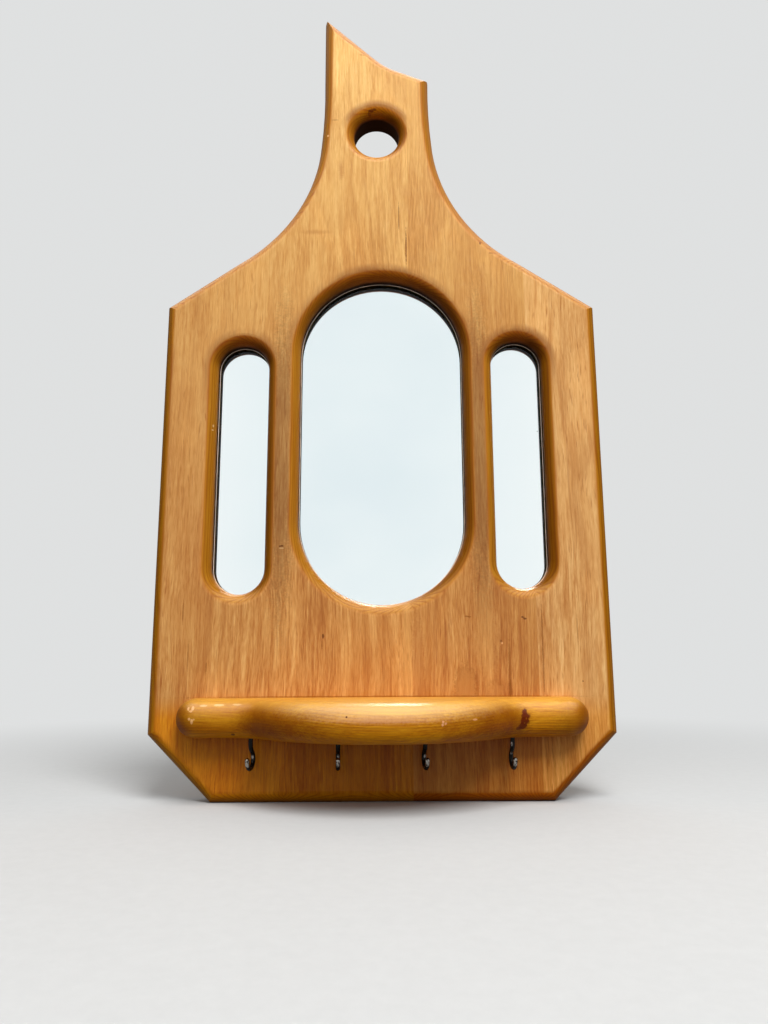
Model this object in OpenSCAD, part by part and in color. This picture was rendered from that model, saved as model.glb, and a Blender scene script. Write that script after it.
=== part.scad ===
// A wooden wall mirror with a bowed shelf and four screw hooks.
// It hangs on a wall: the back is the plane y = 0, the front faces -Y and +Z is up.
// The origin is on the axis of the hanging hole, at the back of the board.
// Heights are measured up from the board's bottom edge, and places across from its middle.

/* [Board] */
// Width across the shoulders
board_w = 320; // [310:1:360]
// Thickness of the board
board_t = 22; // [21:0.5:28]
// Width of the bottom edge
bottom_w = 232; // [200:1:260]
// Height to which the lower corners are cut off
corner_rise = 44; // [30:1:60]
// Height of the shoulders
shoulder_h = 354; // [345:1:370]
// Radius of the rounded front edges, rims and hole
edge_r = 8; // [5:0.5:9]
// Radius that eases the corners of the outline
ease_r = 2.5; // [1:0.5:4]
// Width of the staves that the board is glued from
stave_w = 86.5; // [75:0.5:90]
// Place of the glue line right of the middle
glue_line_x = 20.5; // [5:0.5:30]

/* [Neck] */
// Width of the neck
neck_w = 82; // [75:1:95]
// How far the neck sits left of the board's middle
neck_offset = 3.3; // [0:0.1:6]
// Rise of the shoulders' slopes, up to where they would meet the sides of the neck
slope_rise = 80; // [71:1:83]
// Height of the neck, from there to the right end of the top edge
neck_l = 113.5; // [111:0.5:118]
// Distance of the bend in the top edge from the left side of the neck
bend_x = 48; // [40:1:55]
// Rise of the top edge from its right end to its bend
bend_rise = 13.5; // [10:0.5:18]
// Rise of the top edge from its bend to its point, before the point is eased
tip_rise = 44; // [36:1:54]
// Radius of the bend in the top edge
bend_r = 60; // [30:5:80]
// Radius of the sweep between neck and shoulder
sweep_r = 129; // [110:1:132]
// Radius of the slow curve that leads the neck into the sweep
flare_r = 450; // [300:10:460]
// Angle that the slow curve turns through
flare_angle = 6.5; // [3:0.5:6.5]
// Drop from the right end of the top edge to the middle of the hanging hole
hole_drop = 49.5; // [42:0.5:57]
// Diameter of the hanging hole
hole_d = 35; // [25:1:40]

/* [Openings for the mirrors] */
// Width of the centre opening
centre_w = 120; // [100:1:122]
// Height of the centre opening
centre_l = 245; // [200:1:250]
// Height of the middle of the centre opening
centre_h = 253.5; // [245:0.5:260]
// Width of a side opening
side_w = 37; // [28:1:38]
// Height of a side opening
side_l = 185; // [150:1:190]
// Height of the middle of the side openings
side_h = 233; // [225:1:240]
// Distance of the side openings from the middle
side_x = 101; // [101:0.5:106]
// How far the pair of side openings sits right of the middle
side_shift = -1; // [-1:0.5:0.5]
// How much lower the left side opening sits than the right one
side_step = 3.5; // [0:0.5:5]
// Straight wall between a rounded rim and the pane
rim_wall = 4; // [2:0.5:5]

/* [Panes and backings] */
// Width of the ledge that a pane rests on
ledge = 8; // [5:0.5:8]
// Thickness of the panes
pane_t = 4; // [3:0.5:4]
// Thickness of the backings
backing_t = 3; // [2:0.5:3.5]
// Clearance round a pane and its backing
pane_gap = 0.5; // [0.3:0.1:1]
// Diameter of the pins that hold the backings
pin_d = 1.4; // [1:0.1:1.6]
// Length of a pin in the wood
pin_grip = 8; // [6:0.5:12]
// Length of a pin over its backing
pin_lap = 8; // [5:0.5:10]

/* [Shelf] */
// Length of the shelf
shelf_l = 274; // [260:1:290]
// Thickness of the shelf
shelf_t = 25; // [20:0.5:28]
// Height of the middle of the shelf
shelf_h = 56; // [54:1:70]
// Depth of the straight ends of the shelf
ear_depth = 24; // [22:0.5:30]
// Depth of the bow at its middle
bow_depth = 68; // [60:1:76]
// Radius of the bow
bow_r = 112; // [105:1:130]
// Radius of the coves between the bow and the ends
cove_r = 30; // [20:1:40]
// Radius of the ends in plan
end_r = 16; // [15:0.5:20]

/* [Hooks and screws] */
// Distance between hooks
hook_pitch = 57; // [50:0.5:60]
// How far the row of hooks sits right of the middle
hook_shift = -0.7; // [-1:0.1:1]
// Distance of the hooks from the front of the board
hook_reach = 15; // [13:0.5:16]
// Diameter of the hooks' wire
wire_d = 3.0; // [2.2:0.1:3.2]
// Drop from the shelf to the foot of a hook
hook_drop = 20.5; // [19:0.5:24]
// Radius of the hooks' wire at its middle
hook_r = 5.6; // [4.5:0.1:6.5]
// Radius of the bend between the shank and the hook
shank_bend_r = 7; // [5:0.5:8]
// How far a hook is screwed into the shelf
hook_screw_l = 12; // [8:0.5:14]
// Diameter of the shelf's screws
screw_d = 4; // [3.5:0.5:4.5]
// Length of the shelf's screws
screw_l = 40; // [36:1:42]
// Distance of the outer screws from the middle
screw_x = 112; // [108:1:116]
// Clearance round pins, screws and hooks in the wood
fit_gap = 0.1; // [0.05:0.05:0.2]

/* [Hidden] */
$fn = 96;

// Hooks are turned by hand until they bite, so each faces its own way (positive turns right)
hook_turns = [-11, 3, 9, 4];
// A cutter runs this far past what it cuts
past = 2;
// The rounding meets the faces at a slight angle, as a worn cutter leaves it
edge_quirk = 0.5;
// Each curve is cut a hair deeper than a tangent one, and runs on past its ends, so that it
// crosses its neighbours at a slight angle
bend_lap = 0.05;
flare_lap = 0.1;
sweep_lap = 0.16;
lap_angle = 5;
ease_kink = 3;
joint_swell = 0.06;
tip_angle = 0;
screw_head_d = 2 * screw_d;
screw_head_h = screw_d / 2;
screw_point_l = 3;
screw_sink = 0.3;
centre_pins_x = centre_w / 3;
side_pins_h = side_l / 4;

slope_meet_h = shoulder_h + slope_rise;
neck_end_h = slope_meet_h + neck_l;
bend_h = neck_end_h + bend_rise;
tip_h = bend_h + tip_rise;
hole_h = neck_end_h - hole_drop;
shelf_r = shelf_t / 2;
nose_r = shelf_r + 0.1;
nose_flat = 0.05;
rebate_depth = board_t - edge_r - rim_wall;
neck_mid_x = -neck_offset;
neck_left_x = neck_mid_x - neck_w / 2;
neck_right_x = neck_mid_x + neck_w / 2;

wood_pale = "#d9a062";
wood_red = "#cc8a50";
shelf_wood = "#c98a2e";
dark_steel = "#2b2725";
bright_steel = "#9a9a96";
mirror_silver = "#dfeaf0";
board_brown = "#6b4a30";

// ---- The neck's curves: u is the distance outward from a side of the neck ----

function side_x_of(side) = side > 0 ? neck_right_x : neck_left_x;
function slope_run(side) = board_w / 2 - side * side_x_of(side);
function slope_angle(side) = atan((slope_meet_h - shoulder_h) / slope_run(side));
function sweep_turn(side) = 90 - slope_angle(side);
function toward(angle, reach) = reach * [cos(angle), sin(angle)];

// Places relative to where the slow curve leaves the neck
flare_end = [flare_r, 0] - toward(flare_angle, flare_r);
sweep_centre = flare_end + toward(flare_angle, sweep_r);
function sweep_end(side) = sweep_centre - toward(sweep_turn(side), sweep_r);
function flare_start_h(side) =
    slope_meet_h - sweep_end(side)[0] * tan(slope_angle(side)) - sweep_end(side)[1];
function on_neck(side, p) = [side_x_of(side) + side * p[0], flare_start_h(side) + p[1]];

// An arc is [centre, radius, start angle, end angle], counter-clockwise
function neck_arc(side, centre, r, turned, turn) =
    side > 0
        ? [on_neck(side, centre), r, 180 + turned, 180 + turn]
        : [on_neck(side, centre), r, -turn, -turned];
function flare_arc(side) =
    neck_arc(side, [flare_r, 0], flare_r + flare_lap, -lap_angle / 2, flare_angle);
function sweep_arc(side) =
    neck_arc(side, sweep_centre, sweep_r + sweep_lap, flare_angle - lap_angle, sweep_turn(side) + lap_angle);

// ---- The top edge: a steep stretch from the tip, a bend and a flatter stretch ----

bend = [neck_left_x + bend_x, bend_h];
steep_angle = atan((tip_h - bend_h) / bend_x);
flat_angle = atan((bend_h - neck_end_h) / (neck_w - bend_x));
bend_reach = bend_r * tan((steep_angle - flat_angle) / 2);
bend_left = bend + toward(180 - steep_angle, bend_reach);
bend_right = bend + toward(-flat_angle, bend_reach);
bend_centre = bend_left + toward(90 - steep_angle, bend_r);
bend_arc = [
    bend_centre, bend_r + bend_lap, 270 - steep_angle - lap_angle, 270 - flat_angle + lap_angle
];

arcs = [flare_arc(1), sweep_arc(1), bend_arc, flare_arc(-1), sweep_arc(-1)];

// ---- The outline, counter-clockwise from the bottom left corner ----

outline_points = [
    [-bottom_w / 2, 0],
    [bottom_w / 2, 0],
    [board_w / 2, corner_rise],
    [board_w / 2, shoulder_h],
    on_neck(1, sweep_end(1)),
    on_neck(1, flare_end),
    on_neck(1, [0, 0]),
    [neck_right_x, neck_end_h],
    bend_right,
    bend_left,
    [neck_left_x, tip_h],
    on_neck(-1, [0, 0]),
    on_neck(-1, flare_end),
    on_neck(-1, sweep_end(-1)),
    [-board_w / 2, shoulder_h],
    [-board_w / 2, corner_rise]
];
corners = [0, 1, 2, 3, 7, 10, 14, 15];
straights = [[0, 1], [1, 2], [2, 3], [3, 4], [7, 8], [9, 10], [10, 11], [13, 14], [14, 15], [15, 0]];

function is_corner(i) = len([for (c = corners) if (c == i) c]) > 0;
function before(i) = outline_points[(i + len(outline_points) - 1) % len(outline_points)];
function after(i) = outline_points[(i + 1) % len(outline_points)];
function unit(v) = v / norm(v);

// ---- Openings: [place across, height of the middle, width, length, side] ----

left_opening = [side_shift - side_x, side_h - side_step / 2, side_w, side_l, -1];
centre_opening = [0, centre_h, centre_w, centre_l, 0];
right_opening = [side_shift + side_x, side_h + side_step / 2, side_w, side_l, 1];
openings = [left_opening, centre_opening, right_opening];

function glue_line(i) =
    i == 0 ? -board_w / 2 - past : i == 4 ? board_w / 2 + past : glue_line_x + (i - 2) * stave_w;

// ---- Frames ----

// x from the board's middle, z up from its bottom edge
module from_foot() {
    translate([neck_offset, 0, -hole_h])
        children();
}

// Drawn lying on its back: x across, y up the board, z out from the wall
module laid_flat() {
    from_foot()
        rotate([90, 0, 0])
            children();
}

// In plan: x across, y out from the front of the board, z up from the shelf's middle
module at_shelf() {
    from_foot()
        translate([0, -board_t, shelf_h])
            mirror([0, 1, 0])
                children();
}

// ---- Flat shapes ----

// Slice of a disc, up to 110 degrees wide
module pie(arc, r) {
    intersection() {
        translate(arc[0])
            circle(r);
        polygon([arc[0], arc[0] + toward(arc[2], 2 * r), arc[0] + toward(arc[3], 2 * r)]);
    }
}

// What eases a corner at p between its neighbours a and b
module corner_ease(p, a, b, r) {
    to_a = unit(a - p);
    to_b = unit(b - p);
    inward = unit(to_a + to_b);
    half = acos(to_a * to_b) / 2;
    slack = r * tan(ease_kink);
    depth = r + slack * tan(half);
    reach = depth / tan(half);
    centre = p + inward * depth / sin(half);
    difference() {
        polygon([
            centre,
            p + to_a * reach,
            p + to_a * reach - inward * past,
            p - inward * past * 2,
            p + to_b * reach - inward * past,
            p + to_b * reach
        ]);
        translate(centre)
            circle(norm([depth, slack]));
    }
}

module outline() {
    difference() {
        polygon(outline_points);
        for (arc = arcs)
            pie(arc, arc[1]);
        for (i = corners)
            corner_ease(outline_points[i], before(i), after(i), ease_r);
    }
}

// Section of what rounds an edge: the edge is at the origin and the wood is left of it and below
module rounding() {
    reach = edge_r + edge_quirk;
    difference() {
        translate([-reach, -reach])
            square(reach + past);
        translate([-reach, -reach])
            circle(norm([reach, edge_quirk]));
    }
}

// Half section of an opening of width w with its rounded rim
module opening_section(w) {
    translate([0, -past])
        square([w / 2, board_t + 2 * past]);
    translate([w / 2, board_t])
        mirror([1, 0])
            rounding();
}

// ---- Cuts in the board, laid flat ----

module round_straight(i, j) {
    a = outline_points[i];
    b = outline_points[j];
    past_a = is_corner(i) ? past : 0;
    past_b = is_corner(j) ? past : 0;
    heading = atan2(b[1] - a[1], b[0] - a[0]);
    translate([b[0], b[1], board_t])
        rotate([90, 0, heading - 90])
            translate([0, 0, -past_b])
                linear_extrude(norm(b - a) + past_a + past_b)
                    rounding();
}

module round_arc(arc) {
    translate([arc[0][0], arc[0][1], board_t])
        rotate([0, 0, arc[2]])
            rotate_extrude(angle = arc[3] - arc[2])
                translate([arc[1], 0])
                    mirror([1, 0])
                        rounding();
}

// A racetrack-shaped opening of width w and length l
module opening_cut(w, l) {
    straight = l - w;
    for (turn = [0, 180])
        rotate([0, 0, turn])
            translate([0, straight / 2, 0])
                rotate_extrude(angle = 180)
                    opening_section(w);
    rotate([90, 0, 0])
        translate([0, 0, -straight / 2])
            linear_extrude(straight) {
                opening_section(w);
                mirror([1, 0])
                    opening_section(w);
            }
}

module rebate_cut(w, l) {
    translate([-w / 2 - ledge, -l / 2 - ledge, -past])
        cube([w + 2 * ledge, l + 2 * ledge, rebate_depth + past]);
}

// Pins stand on a rebate's walls: [place across, height, heading into the wood]
function end_pins(o, dx) = [
    for (end = [1, -1])
        [o[0] + dx, o[1] + end * (o[3] / 2 + ledge), 90 * end]
];
function outer_pins(o) = [
    for (dy = [side_pins_h, -side_pins_h])
        [o[0] + o[4] * (o[2] / 2 + ledge), o[1] + dy, o[4] > 0 ? 0 : 180]
];
pins = [
    for (dx = [-centre_pins_x, 0, centre_pins_x])
        each end_pins(centre_opening, dx),
    for (o = [left_opening, right_opening])
        each concat(end_pins(o, 0), outer_pins(o))
];
pin_level = rebate_depth - pane_t - backing_t - fit_gap / 2 - pin_d / 2;

module at_pin(pin) {
    translate([pin[0], pin[1], pin_level])
        rotate([0, 90, pin[2]])
            children();
}

// Where the shelf's screws go, laid flat
module at_screws() {
    for (x = [-screw_x, 0, screw_x])
        translate([x, shelf_h, 0])
            children();
}

module screw_hole() {
    translate([0, 0, -past])
        cylinder(d = screw_head_d + 2 * fit_gap, h = past + screw_sink);
    translate([0, 0, screw_sink])
        cylinder(d1 = screw_head_d + 2 * fit_gap, d2 = screw_d + 2 * fit_gap, h = screw_head_h);
    cylinder(d = screw_d + 2 * fit_gap, h = screw_l + screw_sink + fit_gap);
}

// ---- Board ----

// The part of the sawn panel that stave i is
module sawn_stave(i) {
    intersection() {
        linear_extrude(board_t)
            outline();
        translate([glue_line(i - 1), -past, -past])
            cube([glue_line(i) - glue_line(i - 1), tip_h + 2 * past, board_t + 2 * past]);
    }
}

// Its edges are rounded run by run: the sweeps, then the bend and slow curves, then straight runs
module edged_stave(i) {
    difference() {
        difference() {
            difference() {
                sawn_stave(i);
                round_arc(sweep_arc(1));
                round_arc(sweep_arc(-1));
            }
            round_arc(bend_arc);
            round_arc(flare_arc(1));
            round_arc(flare_arc(-1));
        }
        for (s = straights)
            round_straight(s[0], s[1]);
    }
}

module pierced_stave(i) {
    difference() {
        edged_stave(i);
        for (o = openings)
            translate([o[0], o[1], 0])
                opening_cut(o[2], o[3]);
        translate([neck_mid_x, hole_h, 0])
            rotate_extrude()
                opening_section(hole_d);
    }
}

module stave(i) {
    laid_flat()
        difference() {
            difference() {
                pierced_stave(i);
                for (o = openings)
                    translate([o[0], o[1], 0])
                        rebate_cut(o[2], o[3]);
            }
            for (pin = pins)
                at_pin(pin)
                    translate([0, 0, -past])
                        cylinder(d = pin_d + fit_gap, h = past + pin_grip + fit_gap);
            at_screws()
                screw_hole();
        }
}

module stave_1() {
    color(wood_pale)
        stave(1);
}

module stave_2() {
    color(wood_pale)
        stave(2);
}

module stave_3() {
    color(wood_red)
        stave(3);
}

module stave_4() {
    color(wood_red)
        stave(4);
}

// ---- Panes and backings ----

// A sheet that fills the rebate of opening o, from level low up by t
module sheet(o, low, t) {
    w = o[2] + 2 * ledge - 2 * pane_gap;
    l = o[3] + 2 * ledge - 2 * pane_gap;
    laid_flat()
        translate([o[0] - w / 2, o[1] - l / 2, low])
            cube([w, l, t]);
}

module pane(o) {
    color(mirror_silver)
        sheet(o, rebate_depth - pane_t, pane_t);
}

module backing(o) {
    color(board_brown)
        sheet(o, rebate_depth - pane_t - backing_t, backing_t);
}

module backing_pins() {
    color(bright_steel)
        laid_flat()
            for (pin = pins)
                at_pin(pin)
                    translate([0, 0, -pin_lap])
                        cylinder(d = pin_d, h = pin_lap + pin_grip, $fn = 32);
}

// ---- Shelf ----

half_l = shelf_l / 2;
bow_centre = [0, bow_depth - bow_r];
cove_y = ear_depth + cove_r;
cove_x = sqrt(pow(bow_r + cove_r, 2) - pow(cove_y - bow_centre[1], 2));
bow_half = atan2(cove_x, cove_y - bow_centre[1]);
bow_arc = [bow_centre, bow_r, 90 - bow_half, 90 + bow_half];
bow_end = bow_centre + toward(bow_arc[2], bow_r);
cove_arc = [
    [cove_x, cove_y], cove_r + bend_lap, 270 - bow_half - lap_angle, 270 + lap_angle
];
end_slack = end_r * tan(ease_kink);
end_depth = end_r + end_slack;
end_arc = [
    [half_l - end_depth, ear_depth - end_depth], norm([end_depth, end_slack]), 0, 90
];

function flip(p) = [-p[0], p[1]];

module both_ends() {
    for (side = [0, 1])
        mirror([side, 0, 0])
            children();
}

module shelf_plan() {
    half = [[half_l, 0], [half_l, ear_depth], [cove_x, ear_depth], bow_end];
    difference() {
        union() {
            polygon(concat(half, [for (i = [len(half) - 1:-1:0]) flip(half[i])]));
            intersection() {
                pie(bow_arc, bow_r);
                translate([-half_l, 0])
                    square([shelf_l, bow_depth + past]);
            }
        }
        both_ends() {
            pie(cove_arc, cove_arc[1]);
            corner_ease([half_l, ear_depth], [half_l, 0], [cove_x, ear_depth], end_r);
        }
    }
}

// Section of what rounds the nose: the edge is at the origin and the wood is left of it
module nose_section() {
    difference() {
        translate([-nose_r, -shelf_r - past])
            square([nose_r + past, shelf_t + 2 * past]);
        translate([nose_flat - nose_r, 0])
            circle(nose_r);
    }
}

module nose_arc(arc, outward) {
    translate([arc[0][0], arc[0][1], 0])
        rotate([0, 0, arc[2]])
            rotate_extrude(angle = arc[3] - arc[2])
                translate([arc[1], 0])
                    mirror([outward ? 0 : 1, 0])
                        nose_section();
}

// From a to b, with the wood on the left of that way
module nose_straight(a, b) {
    heading = atan2(b[1] - a[1], b[0] - a[0]);
    translate([b[0], b[1], 0])
        rotate([90, 0, heading - 90])
            linear_extrude(norm(b - a))
                nose_section();
}

module shelf_body() {
    difference() {
        difference() {
            difference() {
                translate([0, 0, -shelf_r])
                    linear_extrude(shelf_t)
                        shelf_plan();
                nose_arc(bow_arc, true);
            }
            both_ends()
                nose_arc(cove_arc, false);
        }
        both_ends() {
            nose_straight([half_l, -past], [half_l, ear_depth + past]);
            nose_straight([half_l + past, ear_depth], [cove_x, ear_depth]);
        }
    }
}

module rounded_shelf() {
    difference() {
        shelf_body();
        both_ends()
            nose_arc(end_arc, true);
    }
}

module shelf() {
    color(shelf_wood)
        difference() {
            at_shelf()
                rounded_shelf();
            laid_flat()
                at_screws()
                    cylinder(d = screw_d + fit_gap, h = screw_l + screw_sink + fit_gap);
            for (i = [0:3])
                at_hook(i)
                    translate([0, 0, -past])
                        cylinder(d = wire_d + fit_gap, h = past + hook_screw_l + fit_gap);
        }
}

module shelf_screws() {
    color(bright_steel)
        laid_flat()
            at_screws()
                translate([0, 0, screw_sink]) {
                    cylinder(d1 = screw_head_d, d2 = screw_d, h = screw_head_h);
                    cylinder(d = screw_d, h = screw_l - screw_point_l);
                    translate([0, 0, screw_l - screw_point_l])
                        cylinder(d1 = screw_d, d2 = screw_d / 4, h = screw_point_l);
                }
}

// ---- Hooks ----

// On the underside of the shelf, turned so that +X points out of the hook's mouth
module at_hook(i) {
    at_shelf()
        translate([hook_shift + (i - 1.5) * hook_pitch, hook_reach, -shelf_r])
            rotate([0, 0, 90 - hook_turns[i]])
                children();
}

eye_drop = hook_drop - hook_r - wire_d / 2;
bend_drop = eye_drop - sqrt(pow(shank_bend_r + hook_r, 2) - pow(shank_bend_r, 2));
shank_turn = acos(shank_bend_r / (shank_bend_r + hook_r));

module wire_arc(centre, r, from, to) {
    rotate([90, 0, 0])
        translate(centre)
            rotate([0, 0, from])
                rotate_extrude(angle = to - from, $fn = 64)
                    translate([r, 0])
                        circle(d = wire_d, $fn = 32);
}

// A ball where two stretches of wire meet, a hair fatter than the wire so that they blend
module wire_joint(at) {
    translate([at[0], 0, at[1]])
        sphere(d = wire_d + joint_swell, $fn = 32);
}

module hook(i) {
    eye_centre = [0, -eye_drop];
    color(dark_steel)
        at_hook(i) {
            translate([0, 0, -bend_drop])
                cylinder(d = wire_d, h = bend_drop + hook_screw_l, $fn = 32);
            wire_joint([0, -bend_drop]);
            wire_arc([-shank_bend_r, -bend_drop], shank_bend_r, -shank_turn, 0);
            wire_joint(eye_centre + toward(180 - shank_turn, hook_r));
            wire_arc(eye_centre, hook_r, 180 - shank_turn, 360 + tip_angle);
            wire_joint(eye_centre + toward(tip_angle, hook_r));
        }
}

module hook_1() {
    hook(0);
}

module hook_2() {
    hook(1);
}

module hook_3() {
    hook(2);
}

module hook_4() {
    hook(3);
}

stave_1();
stave_2();
stave_3();
stave_4();
pane(left_opening);  // mirror_left
pane(centre_opening);  // mirror_centre
pane(right_opening);  // mirror_right
backing(left_opening);  // backing_left
backing(centre_opening);  // backing_centre
backing(right_opening);  // backing_right
backing_pins();
shelf();
shelf_screws();
hook_1();
hook_2();
hook_3();
hook_4();
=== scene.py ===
from collections import namedtuple
import math
from types import SimpleNamespace

import bpy
import bmesh
from mathutils import Matrix, Vector


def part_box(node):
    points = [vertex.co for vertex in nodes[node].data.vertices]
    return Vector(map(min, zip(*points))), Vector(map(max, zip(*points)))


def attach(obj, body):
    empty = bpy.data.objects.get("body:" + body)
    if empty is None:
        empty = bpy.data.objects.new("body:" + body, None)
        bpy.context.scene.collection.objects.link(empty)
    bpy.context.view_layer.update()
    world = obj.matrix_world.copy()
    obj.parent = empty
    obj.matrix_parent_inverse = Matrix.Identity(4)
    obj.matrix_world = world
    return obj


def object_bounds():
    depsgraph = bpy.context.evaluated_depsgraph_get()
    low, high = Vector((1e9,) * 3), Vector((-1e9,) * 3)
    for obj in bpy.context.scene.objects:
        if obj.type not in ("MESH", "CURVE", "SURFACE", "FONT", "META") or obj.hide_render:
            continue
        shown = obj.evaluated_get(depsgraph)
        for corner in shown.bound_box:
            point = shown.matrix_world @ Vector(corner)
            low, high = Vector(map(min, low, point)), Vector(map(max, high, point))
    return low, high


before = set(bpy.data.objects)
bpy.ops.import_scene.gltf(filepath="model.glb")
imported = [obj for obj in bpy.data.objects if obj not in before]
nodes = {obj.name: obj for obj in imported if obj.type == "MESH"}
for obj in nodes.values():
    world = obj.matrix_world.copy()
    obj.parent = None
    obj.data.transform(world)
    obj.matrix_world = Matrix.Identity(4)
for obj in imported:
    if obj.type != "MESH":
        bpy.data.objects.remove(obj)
cad_low, cad_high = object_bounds()

MM = 0.001

# The light comes from above and in front, and the lamp stands a little to the right
SKY_AXIS = (0.0, -0.629, 0.777)
LAMP_AXIS = (0.200, -0.616, 0.762)

# Middle across, middle height, width and length of each opening
OPENINGS = {
    "left": (-98.7 * MM, -266.75 * MM, 37 * MM, 185 * MM),
    "centre": (3.3 * MM, -244.5 * MM, 120 * MM, 245 * MM),
    "right": (103.3 * MM, -263.25 * MM, 37 * MM, 185 * MM),
}
HOLE = (0.0, 0.0, 35 * MM, 35 * MM)
RIM_REACH = 8 * MM
RIM_BLUR = 0.5 * MM
OVER_OPENING_REACH = 5 * MM
BOARD_FRONT = -22 * MM

# ---- Camera: the photograph's viewpoint, a little above the shelf and looking up ----

CAMERA_AT = Vector((0.76, -558.18, -402.04)) * MM
CAMERA_TILT = 10.61
CAMERA_YAW = 0.426
CAMERA_ROLL = -0.219
FRAME_W, FRAME_H = 768, 1024
FOCAL_PX = 769.0
SENSOR = 36.0


def camera_axes():
    tilt, yaw, roll = (math.radians(a) for a in (CAMERA_TILT, CAMERA_YAW, CAMERA_ROLL))
    ahead = Vector((
        math.sin(yaw) * math.cos(tilt),
        math.cos(yaw) * math.cos(tilt),
        math.sin(tilt),
    ))
    level = ahead.cross(Vector((0, 0, 1))).normalized()
    above = level.cross(ahead)
    right = math.cos(roll) * level + math.sin(roll) * above
    up = math.cos(roll) * above - math.sin(roll) * level
    return right, up, ahead


RIGHT, UP, AHEAD = camera_axes()


def make_camera():
    data = bpy.data.cameras.new("camera")
    data.sensor_width = SENSOR
    data.lens = SENSOR * FOCAL_PX / FRAME_H
    data.clip_start = 0.01
    data.clip_end = 50
    camera = bpy.data.objects.new("camera", data)
    turn = Matrix((RIGHT, UP, -AHEAD)).transposed().to_4x4()
    camera.matrix_world = Matrix.Translation(CAMERA_AT) @ turn
    bpy.context.scene.collection.objects.link(camera)
    bpy.context.scene.camera = camera


def seen_at(x, y):
    """The point of the CAD model that the photograph shows at pixel x, y."""
    bpy.context.view_layer.update()
    depsgraph = bpy.context.evaluated_depsgraph_get()
    ray = AHEAD + RIGHT * (x - FRAME_W / 2) / FOCAL_PX - UP * (y - FRAME_H / 2) / FOCAL_PX
    hit, point, *_ = bpy.context.scene.ray_cast(depsgraph, CAMERA_AT, ray.normalized())
    if not hit:
        raise ValueError(f"nothing is seen at {x}, {y}")
    return point


# ---- Shader building ----

# How far wood darkens at most, and how strongly in red, green and blue
STAIN_LEAST = 0.15
STAIN_POWERS = (0.55, 1.0, 1.6)


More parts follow.
